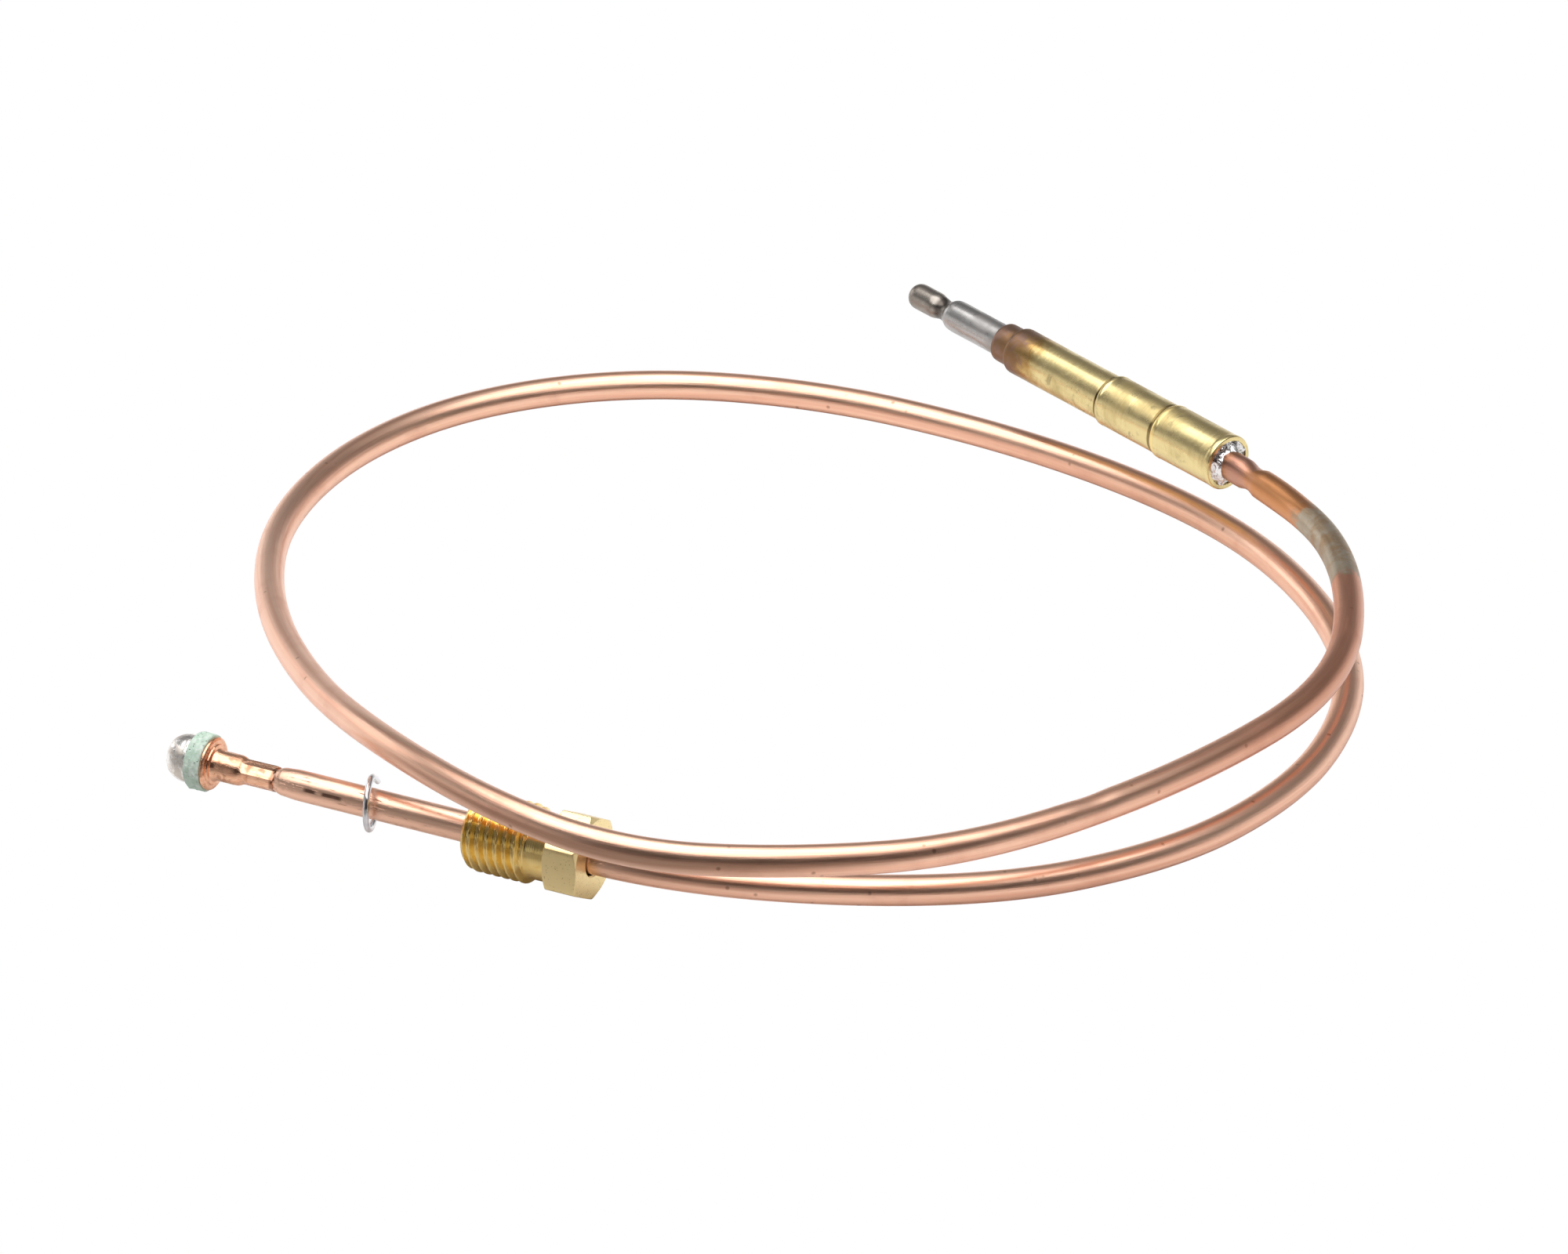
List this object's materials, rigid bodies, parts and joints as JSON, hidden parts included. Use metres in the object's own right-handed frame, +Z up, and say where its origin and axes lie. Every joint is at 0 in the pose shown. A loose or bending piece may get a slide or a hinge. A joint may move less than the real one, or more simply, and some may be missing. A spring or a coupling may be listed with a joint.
{
  "type": "thermocouple",
  "caption": "Gas-safety thermocouple: stepped brass plug with a closed steel tip, a coiled copper lead, and a screwed nut behind a domed button contact.",
  "frame": {"origin": "on the surface that the part lies on, under the middle of the box round the plug, nut and contact end, without the lead", "axes": "+Z up from the surface; -X along the straight tail of the lead, out through the nut's nose towards the contact"},
  "size_m": [0.1228, 0.1277, 0.0144],
  "materials": {
    "plug_brass": "drawn and turned, dull patina, heat tint at the front",
    "nut_brass": "bright turned",
    "sheath_copper": "drawn copper",
    "ferrule_copper": "pressed copper",
    "core_copper": "bare copper wire",
    "tube_steel": "drawn heat-resisting steel, darkened tip",
    "constantan": "bare wire",
    "weld": "fused",
    "solder": "bright lumpy solder",
    "button_solder": "dull tinned dome",
    "ring_wire": "bright plated spring wire",
    "crimp": "plain",
    "washer_fibre": "pressed fibre",
    "glass_sleeving": "braided glass fibre"
  },
  "bodies": {
    "lead_assembly": {"plug_sleeve": "plug_brass", "solder_seal": "solder", "hot_tip_tube": "tube_steel", "hot_junction_weld": "weld", "constantan_wire": "constantan", "tip_insulator": "glass_sleeving", "cold_junction_crimp": "crimp", "splice_cover": "glass_sleeving", "lead_sheath": "sheath_copper", "lead_insulation": "glass_sleeving", "lead_core": "core_copper", "contact_ferrule": "ferrule_copper", "insulating_washer": "washer_fibre", "contact_button": "button_solder"},
    "nut": {"coupling_nut": "nut_brass"},
    "ring": {"retaining_ring": "ring_wire"}
  },
  "joints": [
    {"name": "nut_slide", "type": "slide", "parent": "lead_assembly", "child": "nut", "axis": [-1, 0, 0], "range_m": [0, 0.0264]},
    {"name": "ring_slide", "type": "slide", "parent": "lead_assembly", "child": "ring", "axis": [-1, 0, 0], "range_m": [0, 0.0159]}
  ],
  "couplings": [
    {"joint": "ring_slide", "follows": "nut_slide", "ratio": 0.6}
  ]
}
